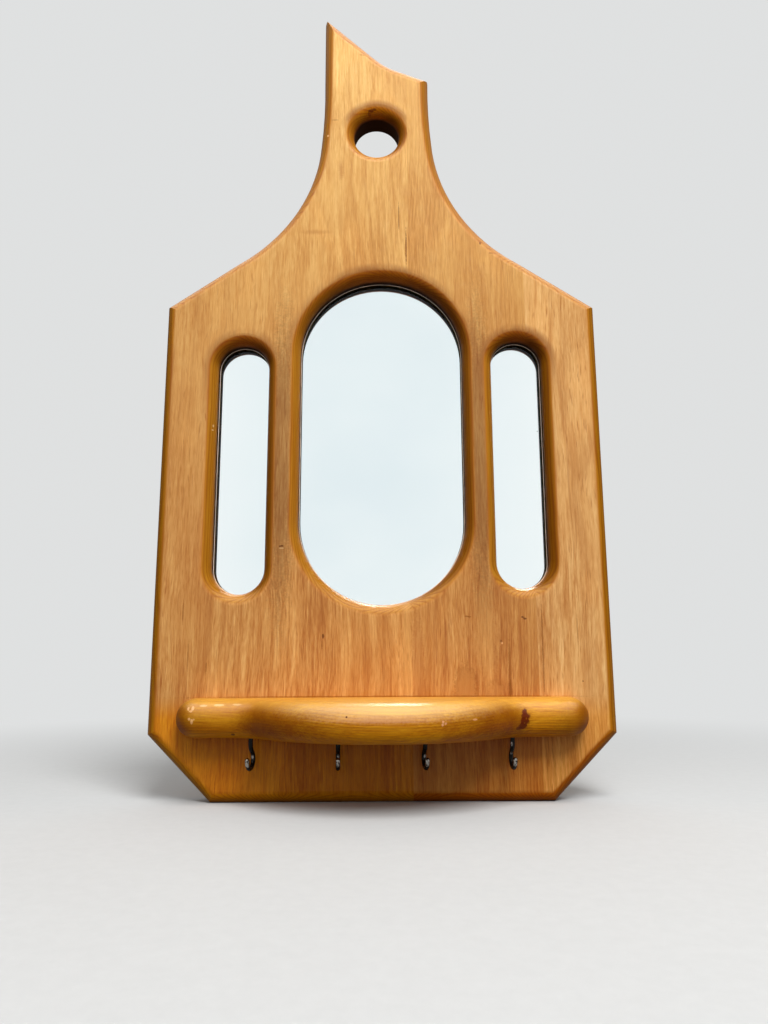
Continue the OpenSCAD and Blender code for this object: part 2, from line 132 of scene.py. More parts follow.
class Shade:
    """A material, or the world, whose nodes are made by short calls."""

    def __init__(self, name, world=False):
        maker = bpy.data.worlds if world else bpy.data.materials
        self.block = maker.new(name)
        self.block.use_nodes = True
        self.tree = self.block.node_tree
        self.tree.nodes.clear()
        self._coords = None

    def add(self, kind, inputs=(), **settings):
        node = self.tree.nodes.new("ShaderNode" + kind)
        for key, value in settings.items():
            setattr(node, key, value)
        for key, value in dict(inputs).items():
            self.feed(node.inputs[key], value)
        return node

    def feed(self, socket, value):
        if isinstance(value, bpy.types.NodeSocket):
            self.tree.links.new(value, socket)
        elif value is not None:
            socket.default_value = value

    def coords(self):
        if self._coords is None:
            self._coords = self.add("TexCoord").outputs["Object"]
        return self._coords

    def math(self, operation, a, b=None):
        node = self.add("Math", operation=operation)
        for socket, value in zip(node.inputs, (a, b)):
            self.feed(socket, value)
        return node.outputs[0]

    def plus(self, a, b):
        return self.math("ADD", a, b)

    def minus(self, a, b):
        return self.math("SUBTRACT", a, b)

    def times(self, a, b):
        return self.math("MULTIPLY", a, b)

    def vector(self, operation, a, b=None):
        node = self.add("VectorMath", operation=operation)
        for socket, value in zip(node.inputs, (a, b)):
            self.feed(socket, value)
        return node.outputs["Value" if operation in ("LENGTH", "DOT_PRODUCT") else "Vector"]

    def split(self, vector):
        return self.add("SeparateXYZ", {"Vector": vector}).outputs

    def join(self, x, y, z):
        return self.add("CombineXYZ", {"X": x, "Y": y, "Z": z}).outputs[0]

    def noise(self, vector, per_metre, detail=2.0, roughness=0.5, distortion=0.0):
        scaled = self.vector("MULTIPLY", vector, per_metre)
        node = self.add("TexNoise", {
            "Vector": scaled, "Scale": 1.0, "Detail": detail,
            "Roughness": roughness, "Distortion": distortion,
        })
        return node.outputs[0]

    def ease(self, value, low, high):
        """0 below low, 1 above high and smooth between them; low may be above high."""
        node = self.add("MapRange", interpolation_type="SMOOTHSTEP")
        self.feed(node.inputs["Value"], value)
        node.inputs["From Min"].default_value = low
        node.inputs["From Max"].default_value = high
        return node.outputs[0]

    def spread(self, value, low, high):
        """Maps 0..1 to low..high."""
        node = self.add("MapRange", clamp=False)
        self.feed(node.inputs["Value"], value)
        node.inputs["To Min"].default_value = low
        node.inputs["To Max"].default_value = high
        return node.outputs[0]

    def mix(self, share, a, b, blend="MIX"):
        node = self.add("Mix", data_type="RGBA", blend_type=blend)
        self.feed(node.inputs[0], share)
        for socket, value in ((node.inputs[6], a), (node.inputs[7], b)):
            self.feed(socket, colour(value))
        return node.outputs[2]

    def glaze(self, share, value, by):
        """value where share is 0, and value multiplied by the colour by where it is 1."""
        return self.mix(share, value, self.mix(1.0, value, by, blend="MULTIPLY"))

    def tint(self, value, by):
        """value multiplied by the number by."""
        return self.mix(1.0, value, self.join(by, by, by), blend="MULTIPLY")

    def stain(self, value, by):
        """value multiplied by the number by: less in red and more in blue, as wood darkens."""
        by = self.math("MAXIMUM", by, STAIN_LEAST)
        powers = [self.math("POWER", by, power) for power in STAIN_POWERS]
        return self.mix(1.0, value, self.join(*powers), blend="MULTIPLY")

    def ramp(self, value, stops):
        node = self.add("ValToRGB", {"Fac": value})
        ramp = node.color_ramp
        while len(ramp.elements) < len(stops):
            ramp.elements.new(0.5)
        for element, (place, level) in zip(ramp.elements, stops):
            element.position = place
            element.color = colour(level if isinstance(level, tuple) else (level,) * 3)
        return node.outputs["Color"]

    def bump(self, height, depth):
        node = self.add("Bump", {"Height": height, "Distance": depth, "Strength": 1.0})
        return node.outputs[0]

    def surface(self, **inputs):
        bsdf = self.add("BsdfPrincipled")
        for key, value in inputs.items():
            self.feed(bsdf.inputs[key.replace("_", " ")], value)
        out = self.add("OutputMaterial")
        self.tree.links.new(bsdf.outputs[0], out.inputs["Surface"])
        return self.block


def colour(value):
    if isinstance(value, tuple) and len(value) == 3:
        return (*value, 1.0)
    return value


def dress(names, material):
    for name in names:
        for slot in nodes[name].material_slots:
            slot.material = material


# ---- Wood ----

# Grain runs along the last axis of each order
ALONG_BOARD = "xyz"
ALONG_SHELF = "yzx"

# Painted light and sheen: the board is lighter and yellower towards the top
TOP_LIGHT_TINT = (1.26, 1.56, 1.87)
# Painted shade: the board is deeper and more saturated beneath the shelf
UNDER_SHELF_SHADE_PALE = (1.00, 0.72, 0.12)
UNDER_SHELF_SHADE_RED = (0.97, 0.80, 0.50)
PALE_FACE = (0.600, 0.268, 0.066)
PALE_RING = (0.400, 0.135, 0.022)
RED_FACE = (0.550, 0.235, 0.054)
RED_RING = (0.350, 0.100, 0.015)
LIGHT_FACE = (0.695, 0.350, 0.109)
# Painted light and shade of the rounded edges: up, down, sideways outside, in the openings and lit in
# them
RIM_LIT = (0.550, 0.240, 0.034)
RIM_SHADED_DOWN = (0.540, 0.170, 0.002)
RIM_SHADED_SIDE = (0.370, 0.142, 0.003)
RIM_SHADED_SIDE_IN = (0.235, 0.078, 0.001)
RIM_SIDE_LIT = (0.415, 0.168, 0.010)
# Tints: painted shade on the overhung edges in the openings, and the tones of the edges along the
# board's bottom
RIM_OVERHUNG_SHADE = (0.74, 0.64, 0.50)
RIM_PALE = (1.12, 1.20, 1.30)
RIM_RED = (0.88, 0.66, 0.42)
# The darker tone just over the tops of the openings
OVER_OPENING_TONE = (0.300, 0.105, 0.020)
SHELF_FACE = (0.640, 0.262, 0.010)
SHELF_RING = (0.360, 0.110, 0.003)
# The shelf: a painted highlight on top, painted shade below, and end grain with painted shade at the
# ends
SHELF_TOP_HIGHLIGHT = (0.780, 0.430, 0.080)
SHELF_UNDERSIDE_SHADE = (1.18, 0.98, 0.24)
SHELF_END_GRAIN_AND_SHADE = (0.45, 0.32, 0.15)

# Marks: on the shelf, the amber is painted shade and the cream a painted highlight
DARK = (0.110, 0.022, 0.0)
BROWN = (0.240, 0.070, 0.003)
KNOT = (0.110, 0.012, 0.0)
AMBER_SHADE = (0.250, 0.075, 0.001)
CREAM = (0.900, 0.650, 0.300)
BARE = (0.880, 0.480, 0.190)
PINK = (0.780, 0.380, 0.190)
STREAK = (0.740, 0.390, 0.110)

# Heights between which the looks of the board change
LIT_TOP_HEIGHTS = (-0.36, 0.06)
LOWER_FIGURE = (-0.20, -0.40)
UNDER_SHELF = (-0.425, -0.445)
BOTTOM_RIM = (-0.44, -0.47)
BELOW_HOLE = (-0.06, -0.08)
# Depths between which the walls behind the rims go dark with painted shade and grime
WALL_DEPTH = (-17 * MM, -13 * MM)
WALL_SHADE_TONE = 0.05

# The narrow strips between the openings, which are darker
STRIPS = ((-68.5 * MM, BOARD_FRONT, -262 * MM), (74.0 * MM, BOARD_FRONT, -258 * MM))
STRIP_HALF = (9 * MM, 20 * MM, 98 * MM)
STRIP_TONE = 0.64

# The dark line on the board along the top of the shelf
SEAM_AT = (3.3 * MM, BOARD_FRONT, -429.3 * MM)
SEAM_HALF = (118 * MM, 3 * MM, 0.8 * MM)
SEAM = ((SEAM_AT, SEAM_HALF, 0.6), BROWN, 0.6)

# Each noise of the wood: how fine it is across, through and along the grain, detail, roughness
NOISES = {
    "fine": ((1500.0, 1500.0, 130.0), 2.0, 0.6),
    "fibre": ((700.0, 700.0, 36.0), 3.0, 0.6),
    "figure": ((110.0, 110.0, 13.0), 3.0, 0.55),
    "streak": ((130.0, 130.0, 6.0), 2.0, 0.5),
    "cloud": ((22.0, 22.0, 9.0), 2.0, 0.5),
    "plain": ((40.0, 40.0, 5.0), 1.0, 0.5),
    "dash": ((820.0, 820.0, 62.0), 2.0, 0.5),
    "thread": ((420.0, 420.0, 12.0), 2.0, 0.5),
}
PATCH_NOISE = ((34.0, 34.0, 16.0), 2.0)
PATCH_SHIFT = (5.0, 5.0, 5.0)
WARP_NOISE = ((9.0, 9.0, 8.0), 2.0)
WARP_REACH = 5 * MM
# The pith wanders across the plank, and the rings ripple
WANDER_NOISE = ((2.0, 2.0, 2.6), 1.0)
WANDER_REACH = 30 * MM
RIPPLE_NOISE = ((28.0, 28.0, 9.0), 2.0)
RIPPLE_REACH = 1.6 * MM
# What breaks up the outlines of marks
EDGE_NOISE = ((700.0, 700.0, 700.0), 2.0)
EDGE_REACH = 0.5
# From the early to the late wood of one ring
RING_PROFILE = [(0.0, 0.05), (0.45, 0.25), (0.80, 1.0), (0.90, 0.6), (1.0, 0.05)]
RIM_RING_SHOW = 0.80
# How flat the front is where the look of the face ends and that of the rims is full
RIM_STARTS = (0.9985, 0.935)

# The lacquer, which shines the more a surface faces the light: shine is where that starts and ends
Coat = namedtuple("Coat", "weight roughness ior shine")
BOARD_COAT = Coat(0.60, 0.14, 1.38, (0.0, 0.60))
SHELF_COAT = Coat(0.85, 0.26, 1.45, (0.60, 0.95))
# The share of its weight that it keeps under the shelf, and its weight where it faces no light
UNDER_COAT = 0.25
LEAST_COAT = 0.06

# ring is the width of a growth ring, and taper is how fast the tree narrows along the plank
Plank = namedtuple(
    "Plank",
    "name order pith ring taper seed face ring_tone ring_show coat fade under rim_tint",
    defaults=(0.0, None, None),
)


def grain_frame(s, order):
    """The object's coordinates as two across the grain and one along it."""
    place = s.split(s.coords())
    return s.join(*(place["xyz".index(axis)] for axis in order))


def ring_number(s, place, plank):
    """Growth rings round a pith that wanders along the plank: one more for each ring."""
    seed = plank.seed
    shifted = s.vector("ADD", place, (seed, 2 * seed, 3 * seed))
    wander = s.spread(s.noise(shifted, *WANDER_NOISE), -WANDER_REACH, WANDER_REACH)
    ripple = s.spread(s.noise(shifted, *RIPPLE_NOISE), -RIPPLE_REACH, RIPPLE_REACH)
    across, through, along = s.split(place)
    dx = s.plus(s.minus(across, plank.pith[0]), wander)
    dy = s.minus(through, plank.pith[1])
    reach = s.vector("LENGTH", s.join(dx, dy, 0.0))
    reach = s.plus(reach, s.times(along, plank.taper))
    return s.math("DIVIDE", s.plus(reach, ripple), plank.ring)


def spot(s, mark):
    """1 inside a mark and 0 outside it. A mark is its middle, its three half sizes and its blur."""
    middle, half, blur = mark
    offset = s.vector("SUBTRACT", s.coords(), tuple(middle))
    rough = s.spread(s.noise(s.coords(), *EDGE_NOISE), -EDGE_REACH, EDGE_REACH)
    far = s.plus(s.vector("LENGTH", s.vector("DIVIDE", offset, half)), rough)
    return s.ease(far, 1.0 + blur / 2, 1.0 - blur / 2)


def openings_at(s, point):
    """1 within the rims of the openings and 0 outside, and where the face darkens just over each top.
    """
    inside, over_openings = 0.0, 0.0
    for mid_x, mid_z, width, length in (*OPENINGS.values(), HOLE):
        straight = (length - width) / 2
        past_end = s.minus(s.math("ABSOLUTE", s.minus(point.z, mid_z)), straight)
        reach = s.join(s.minus(point.x, mid_x), 0.0, s.math("MAXIMUM", past_end, 0.0))
        gap = s.minus(s.vector("LENGTH", reach), width / 2)
        inside = s.math("MAXIMUM", inside, s.ease(gap, RIM_REACH + RIM_BLUR, RIM_REACH))
        upper = s.ease(point.z, mid_z, mid_z + length / 2)
        over = s.times(s.ease(gap, RIM_REACH + OVER_OPENING_REACH, RIM_REACH), upper)
        over_openings = s.math("MAXIMUM", over_openings, over)
    return inside, over_openings


def point_on(s):
    """Where a point of the surface lies and which way it faces."""
    point = SimpleNamespace()
    point.x, point.y, point.z = s.split(s.coords())
    normal = s.add("NewGeometry").outputs["Normal"]
    point.facing = s.vector("DOT_PRODUCT", normal, SKY_AXIS)
    point.nx, ny, point.nz = s.split(normal)
    point.sideways = s.math("ABSOLUTE", point.nx)
    point.flatness = s.math("ABSOLUTE", ny)
    point.in_front = s.ease(ny, 0.5, -0.5)
    point.lower = s.ease(point.z, *LOWER_FIGURE)
    point.under = s.times(s.ease(point.z, *UNDER_SHELF), point.in_front)
    return point


def grain_of(s, plank):
    """The rings, fibres, pores and clouds of a plank, each from 0 to 1."""
    place = grain_frame(s, plank.order)
    seed = plank.seed
    shifted = s.vector("ADD", place, (3 * seed, seed, 2 * seed))
    warp = s.spread(s.noise(shifted, *WARP_NOISE), -WARP_REACH, WARP_REACH)
    bent = s.vector("ADD", shifted, s.join(warp, warp, 0.0))
    grain = SimpleNamespace(**{name: s.noise(bent, *noise) for name, noise in NOISES.items()})
    grain.patch = s.noise(s.vector("ADD", bent, PATCH_SHIFT), *PATCH_NOISE)
    grain.late = s.ramp(s.math("FRACT", ring_number(s, place, plank)), RING_PROFILE)
    grain.ring = s.times(grain.late, s.ease(grain.plain, 0.35, 0.70))
    grain.dash = s.times(s.ease(grain.dash, 0.60, 0.70), s.ease(grain.patch, 0.36, 0.60))
    grain.thread = s.ease(grain.thread, 0.62, 0.74)
    return grain


def plank_tone(s, plank, grain, point):
    """Bare wood: its rings and clouds, darkened by its fibres."""
    tone = s.mix(s.times(grain.ring, plank.ring_show), plank.face, plank.ring_tone)
    tone = s.mix(s.ease(grain.cloud, 0.44, 0.72), tone, s.mix(0.32, tone, plank.ring_tone))
    tone = s.mix(s.ease(grain.patch, 0.50, 0.74), tone, s.tint(tone, 1.10))
    depth = s.times(
        s.spread(s.ease(grain.cloud, 0.30, 0.65), 0.75, 1.25), s.spread(point.lower, 1.0, 1.45)
    )
    dark = s.plus(s.spread(grain.fibre, -0.46, 0.46), s.spread(grain.fine, -0.34, 0.34))
    dark = s.times(s.plus(s.times(dark, depth), 1.0), s.spread(grain.figure, 0.70, 1.30))
    streak = s.times(s.spread(grain.streak, -0.55, 0.55), point.lower)
    return s.stain(tone, s.times(dark, s.plus(streak, 1.0)))


def board_face(s, plank, grain, point, over_openings):
    """The flat: painted light above, deeper below, painted shade beneath the shelf, darker by the
    openings.
    """
    # Painted light and sheen towards the top of the board
    high = s.times(s.ease(point.z, *LIT_TOP_HEIGHTS), plank.fade)
    dashes = s.times(s.spread(high, 0.75, 0.20), s.spread(point.lower, 1.0, 0.65))
    threads = s.spread(high, 0.50, 0.25)
    tone = plank_tone(s, plank, grain, point)
    tone = s.mix(s.times(grain.dash, dashes), tone, s.stain(plank.ring_tone, 0.75))
    tone = s.mix(s.times(grain.thread, threads), tone, plank.ring_tone)
    tone = s.glaze(high, tone, TOP_LIGHT_TINT)
    # Painted shade beneath the shelf
    tone = s.glaze(point.under, tone, plank.under)
    between = 0.0
    for middle in STRIPS:
        between = s.math("MAXIMUM", between, spot(s, (middle, STRIP_HALF, 1.0)))
    tone = s.tint(tone, s.spread(s.times(between, point.in_front), 1.0, STRIP_TONE))
    broken = s.ease(s.plus(grain.patch, s.times(grain.fibre, 0.5)), 0.55, 0.95)
    over_openings = s.times(s.times(over_openings, point.in_front), broken)
    return s.mix(s.times(over_openings, 0.75), tone, OVER_OPENING_TONE)


def board_rim(s, plank, grain, point, inside):
    """The rounded edges: more lacquer than the flat, and painted light and shade by the way they face.
    """
    # Painted light and shade: lit facing up, shaded facing down and sideways, lit on sides facing the
    # lamp
    tone = s.mix(s.ease(point.nz, -0.10, 0.45), RIM_SHADED_DOWN, RIM_LIT)
    lit_side = s.times(inside, s.ease(point.nx, 0.0, 0.4))
    side = s.mix(lit_side, s.mix(inside, RIM_SHADED_SIDE, RIM_SHADED_SIDE_IN), RIM_SIDE_LIT)
    turned = s.times(s.ease(point.sideways, 0.08, 0.60), s.ease(point.flatness, 0.05, 0.25))
    tone = s.mix(turned, tone, side)
    tone = s.glaze(s.ease(point.z, *BOTTOM_RIM), tone, plank.rim_tint)
    # Painted shade on the overhung edges in the openings below the hole
    overhung = s.times(inside, s.ease(point.nz, 0.05, -0.35))
    tone = s.glaze(s.times(overhung, s.ease(point.z, *BELOW_HOLE)), tone, RIM_OVERHUNG_SHADE)
    tone = s.mix(s.times(grain.late, RIM_RING_SHOW), tone, s.stain(tone, 0.46))
    dark = s.times(s.spread(grain.fibre, 0.66, 1.38), s.spread(grain.figure, 0.76, 1.26))
    return s.stain(tone, dark)


def board_looks(s, plank, grain, point, rough, weight):
    """Board colour, roughness and lacquer: walls behind the rims dull, dark with painted shade and
    grime.
    """
    inside, over_openings = openings_at(s, point)
    off_face = s.ease(point.flatness, *RIM_STARTS)
    face = board_face(s, plank, grain, point, over_openings)
    base = s.mix(off_face, face, board_rim(s, plank, grain, point, inside))
    # Painted shade and grime on the walls behind the rims
    deep = s.times(s.ease(point.y, *WALL_DEPTH), s.ease(point.nz, 0.55, 0.05))
    walls = s.times(s.times(inside, deep), off_face)
    base = s.mix(walls, base, s.tint(base, WALL_SHADE_TONE))
    rough = s.math("MAXIMUM", rough, s.times(walls, 0.9))
    weight = s.times(weight, s.minus(1.0, walls))
    return base, rough, s.times(weight, s.spread(point.under, 1.0, UNDER_COAT))


def shelf_looks(s, plank, grain, point):
    """Shelf colour: painted shade below and on its end grain ends, and a painted highlight on top."""
    along = s.ease(point.sideways, 0.30, 0.06)
    tone = plank_tone(s, plank, grain, point)
    tone = s.mix(s.times(grain.dash, s.times(along, 0.45)), tone, s.stain(plank.ring_tone, 0.7))
    tone = s.mix(s.times(grain.thread, s.times(along, 0.60)), tone, plank.ring_tone)
    # Painted shade below, end grain with painted shade at the ends, and a painted highlight on top
    tone = s.glaze(s.ease(point.facing, 0.60, 0.10), tone, SHELF_UNDERSIDE_SHADE)
    tone = s.glaze(s.ease(point.sideways, 0.10, 0.70), tone, SHELF_END_GRAIN_AND_SHADE)
    return s.mix(s.times(s.ease(point.nz, 0.35, 0.90), 0.40), tone, SHELF_TOP_HIGHLIGHT)


def wood(plank, marks):
    """Lacquered wood, which shines where it faces the light."""
    s = Shade(plank.name + "_wood")
    grain, point, coat = grain_of(s, plank), point_on(s), plank.coat
    rough = s.spread(grain.fibre, 0.38, 0.58)
    weight = s.times(
        s.spread(s.ease(point.facing, *coat.shine), LEAST_COAT, coat.weight),
        s.spread(s.ease(point.sideways, 0.15, 0.60), 1.0, 0.04),
    )
    if plank.order == ALONG_BOARD:
        base, rough, weight = board_looks(s, plank, grain, point, rough, weight)
    else:
        base = shelf_looks(s, plank, grain, point)
    for mark, tone, strength in marks:
        base = s.mix(s.times(spot(s, mark), strength), base, tone)

    pits = s.plus(s.times(grain.fibre, 0.6), s.times(grain.fine, 0.4))
    peel = s.noise(s.coords(), (140.0, 140.0, 140.0), 2.0)
    worn = s.plus(s.times(peel, 0.8), s.times(grain.fibre, 0.2))
    return s.surface(
        Base_Color=base, Roughness=rough, IOR=1.40, Specular_IOR_Level=0.12,
        Normal=s.bump(pits, 0.00010), Coat_Weight=weight, Coat_Roughness=coat.roughness,
        Coat_IOR=coat.ior, Coat_Normal=s.bump(worn, 0.00035),
    )


def at(x, y, width, height, tone, strength=1.0, blur=0.5, deep=5.0):
    """A mark seen at pixel x, y: its sizes are in millimetres."""
    half = (width / 2 * MM, deep * MM, height / 2 * MM)
    return (seen_at(x, y), half, blur), tone, strength


def wood_marks():
    """The marks of each piece, by what they are, at the pixels where the photograph shows them."""
    return {
        "stave_1": {
            "gouge": [at(281, 546, 3.6, 1.2, DARK, 0.9), at(281.5, 548.2, 3.0, 1.0, CREAM, 0.3)],
            "flecks": [at(213.4, 426, 0.9, 2.0, CREAM, 0.6), at(212.6, 430, 1.2, 1.0, CREAM, 0.5)],
            "lines": [
                at(183, 612, 1.0, 14.0, BROWN, 0.5), at(206, 668, 1.2, 8.0, BROWN, 0.5),
                at(296, 628, 1.0, 16.0, BROWN, 0.4), at(188, 655, 1.0, 20.0, BROWN, 0.4),
            ],
        },
        "stave_2": {
            "neck_crack": [
                at(398.7, 217, 1.0, 22.0, BROWN, 0.7), at(406, 246, 1.1, 26.0, BROWN, 0.9),
            ],
            "long_pore": [at(323, 636, 1.5, 3.4, DARK, 0.8), at(322, 645, 0.9, 6.0, BROWN, 0.7)],
            "neck_scratch": [at(335, 120, 5.0, 0.9, BROWN, 0.5)],
            "neck_stains": [
                at(341, 170, 3.6, 15.0, PALE_RING, 0.5, 1.6),
                at(316, 232, 18.0, 3.0, PALE_RING, 0.4, 1.8),
            ],
            "pale_streak": [at(407, 655, 6.0, 110.0, STREAK, 0.35, 1.0)],
            "hole_shadow": [at(354, 129, 8.0, 26.0, BROWN, 0.55, 1.6)],
            "hole_chip": [
                at(371, 111, 4.0, 2.0, KNOT, 0.8), at(374.5, 109.5, 2.6, 1.6, KNOT, 0.7),
                at(369.5, 114, 2.4, 2.4, KNOT, 0.5),
            ],
            "bare_corner": [at(328, 136, 1.5, 2.0, BARE, 0.8)],
            "top_nick": [at(362.5, 55, 4.5, 1.1, BROWN, 0.5)],
        },
        "stave_3": {
            "line": [at(510, 670, 1.6, 40.0, BROWN, 0.5)],
            "eyes": [
                at(467, 690, 16.0, 32.0, BROWN, 0.5), at(467, 691, 13.0, 29.0, RED_FACE, 0.65),
                at(494, 690, 13.0, 14.0, BROWN, 0.3), at(494, 691, 10.5, 11.0, RED_FACE, 0.5),
            ],
            "scratch": [
                at(466.5, 616.2, 2.8, 0.8, BROWN, 0.7), at(469.5, 616.9, 2.4, 0.8, BROWN, 0.7),
            ],
            "low_line": [at(510.6, 690, 2.4, 12.0, BROWN, 0.7)],
            # The pale speck beside the pit is a painted highlight
            "pit": [at(501, 641, 1.2, 2.0, DARK, 0.6), at(502.2, 643, 1.2, 1.6, BARE, 0.6)],
            "pale_streak": [at(487, 640, 14.0, 60.0, STREAK, 0.30, 1.0)],
            "gouge": [at(522.5, 617, 2.2, 1.2, DARK, 0.8), at(525, 618.6, 2.2, 1.2, DARK, 0.8)],
            "dark_streak": [at(418, 668, 9.0, 70.0, RED_RING, 0.30)],
            "shoulder_nicks": [at(480, 243.5, 1.3, 2.6, DARK, 0.8), at(491, 253, 3.4, 1.1, BROWN, 0.6)],
        },
        "stave_4": {
            "long_line": [
                at(542.2, 630, 1.1, 34.0, BROWN, 0.6), at(543.6, 668, 1.1, 34.0, BROWN, 0.6),
            ],
            "short_line": [at(577.5, 630, 0.9, 20.0, BROWN, 0.4)],
            "speck": [at(583, 681, 1.0, 1.0, DARK, 0.6)],
        },
        "shelf": {
            # Painted highlight on top, painted shade on the flares and ends, and a worn pink band
            "clouds": [
                at(390, 711, 104.0, 10.0, CREAM, 0.34, 1.6, 60.0),
                at(246, 716, 72.0, 15.0, AMBER_SHADE, 0.42, 2.4, 60.0),
                at(380, 720, 60.0, 4.0, PINK, 0.35, 1.6, 60.0),
                at(508, 715, 44.0, 9.0, AMBER_SHADE, 0.25, 1.6, 60.0),
                at(578, 721, 26.0, 22.0, AMBER_SHADE, 0.60, 1.6, 60.0),
                at(186, 719, 24.0, 20.0, AMBER_SHADE, 0.40, 1.6, 60.0),
            ],
            "end_chips": [
                at(188.3, 708.8, 1.6, 2.2, BARE, 0.8), at(192.8, 708.6, 1.8, 2.6, BARE, 0.8),
                at(190.6, 711.3, 2.4, 1.2, BARE, 0.7), at(189.0, 719.2, 1.8, 1.8, BARE, 0.8),
                at(191.6, 721.6, 1.8, 3.2, BARE, 0.8), at(193.6, 719.6, 1.4, 1.2, BARE, 0.6),
            ],
            "dark_specks": [at(346.4, 717.2, 1.2, 1.2, DARK), at(233, 734.5, 2.6, 1.4, DARK, 0.8)],
            # Painted highlights along the top of the left end
            "painted_highlight_dashes": [
                at(203.5, 705.8, 5.0, 1.2, CREAM, 0.5), at(219, 705.2, 7.0, 1.3, CREAM, 0.55),
                at(237, 704.6, 6.0, 1.0, CREAM, 0.4),
            ],
            "pink_specks": [
                at(443.2, 722.0, 1.5, 1.3, PINK, 0.8), at(442.6, 725.0, 1.3, 1.6, PINK, 0.8),
                at(445.8, 723.6, 1.3, 1.5, PINK, 0.7), at(475.0, 719.5, 3.0, 1.2, PINK, 0.5),
            ],
            "knot": [
                at(522, 722, 9.0, 20.0, BROWN, 0.45, 1.6), at(524.6, 711.6, 3.2, 3.6, KNOT, 0.95),
                at(525.4, 716.2, 6.0, 4.6, KNOT, 0.95), at(524.8, 721.0, 6.4, 5.0, KNOT, 0.95),
                at(523.0, 725.6, 6.4, 4.4, KNOT, 0.9), at(519.0, 728.4, 4.0, 2.4, KNOT, 0.7),
                at(526.4, 718.4, 1.0, 1.2, BROWN, 0.8), at(524.6, 723.0, 1.0, 1.0, BROWN, 0.7),
            ],
        },
    }


def planks():
    pale, red = (UNDER_SHELF_SHADE_PALE, RIM_PALE), (UNDER_SHELF_SHADE_RED, RIM_RED)
    staves = (
        ((-0.135, 0.075), 0.0013, 0.004, 1.7, PALE_FACE, PALE_RING, 1.0, pale),
        ((-0.020, 0.095), 0.0012, -0.005, 4.1, PALE_FACE, PALE_RING, 1.0, pale),
        ((0.062, 0.060), 0.0012, 0.006, 7.3, RED_FACE, RED_RING, 1.0, red),
        ((0.150, 0.080), 0.0014, -0.004, 9.2, LIGHT_FACE, PALE_RING, 0.4, red),
    )
    for number, (pith, ring, taper, seed, face, ring_tone, fade, tints) in enumerate(staves, 1):
        yield Plank(
            f"stave_{number}", ALONG_BOARD, pith, ring, taper, seed, face, ring_tone,
            0.50, BOARD_COAT, fade, *tints,
        )
    yield Plank(
        "shelf", ALONG_SHELF, (-0.050, -0.600), 0.0017, 0.008, 12.6, SHELF_FACE, SHELF_RING,
        0.65, SHELF_COAT,
    )


def dress_wood():
    marks = wood_marks()
    for plank in planks():
        own = [mark for group in marks[plank.name].values() for mark in group]
        if plank.order == ALONG_BOARD:
            own.append(SEAM)
        dress([plank.name], wood(plank, own))


# ---- Mirrors ----

SILVER_T = 0.03 * MM
SILVER_INSET = 0.3 * MM
SAME_POINT = 1e-6
GLASS_FRONT = -10.0 * MM
BEAD_R = 0.32 * MM
BEAD_LIFT = 0.2 * MM
BEAD_INSET = 0.1 * MM
BEAD_SIDES = 8
END_STEPS = 32
# The lacquer line: plain, painted shade on its upward faces, and painted dark on its back
BEAD_TONE = (0.98, 0.76, 0.60)
BEAD_UPPER_SHADE = (0.66, 0.42, 0.24)
BEAD_BACK_SHADE = (0.004, 0.003, 0.002)


def new_piece(name, bm, material):
    mesh = bpy.data.meshes.new(name)
    bm.normal_update()
    bm.to_mesh(mesh)
    bm.free()
    mesh.materials.append(material)
    piece = bpy.data.objects.new(name, mesh)
    bpy.context.scene.collection.objects.link(piece)
    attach(piece, "root")
    return piece


def glass():
    s = Shade("mirror_glass")
    smear = s.noise(s.coords(), (26.0, 26.0, 60.0), 4.0, 0.6, 0.8)
    tone = s.mix(smear, (0.965, 0.988, 0.980), (0.985, 0.996, 0.992))
    haze = s.times(s.ease(smear, 0.60, 0.80), 0.02)
    return s.surface(Base_Color=tone, Roughness=haze, IOR=1.3, Transmission_Weight=1.0)


def silver():
    s = Shade("mirror_silver")
    age = s.noise(s.coords(), (14.0, 14.0, 14.0), 3.0)
    tone = s.mix(age, (0.925, 0.940, 0.945), (0.955, 0.960, 0.965))
    speck = s.ease(s.noise(s.coords(), (330.0, 330.0, 330.0), 1.0), 0.83, 0.86)
    tone = s.mix(speck, tone, (0.10, 0.09, 0.08))
    return s.surface(Base_Color=tone, Metallic=1.0, Roughness=s.times(speck, 0.5))


def silvering(side, material):
    """The silver coat on the back of a pane, cut from the pane's own back face."""
    pane = "mirror_" + side
    bm = bmesh.new()
    bm.from_mesh(nodes[pane].data)
    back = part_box(pane)[1].y
    bmesh.ops.remove_doubles(bm, verts=bm.verts, dist=SAME_POINT)
    others = [f for f in bm.faces if any(abs(v.co.y - back) > SAME_POINT for v in f.verts)]
    bmesh.ops.delete(bm, geom=others, context="FACES")
    bmesh.ops.dissolve_limit(bm, angle_limit=0.01, verts=bm.verts, edges=bm.edges)
    bmesh.ops.inset_region(bm, faces=bm.faces, thickness=SILVER_INSET, use_boundary=True)
    rim = [f for f in bm.faces if any(e.is_boundary for e in f.edges)]
    bmesh.ops.delete(bm, geom=rim, context="FACES")
    bmesh.ops.translate(bm, vec=(0, -SILVER_T, 0), verts=bm.verts)
    sheet = bmesh.ops.extrude_face_region(bm, geom=bm.faces)["geom"]
    front = [v for v in sheet if isinstance(v, bmesh.types.BMVert)]
    bmesh.ops.translate(bm, vec=(0, -SILVER_T, 0), verts=front)
    bmesh.ops.recalc_face_normals(bm, faces=bm.faces)
    new_piece("silvering_" + side, bm, material)


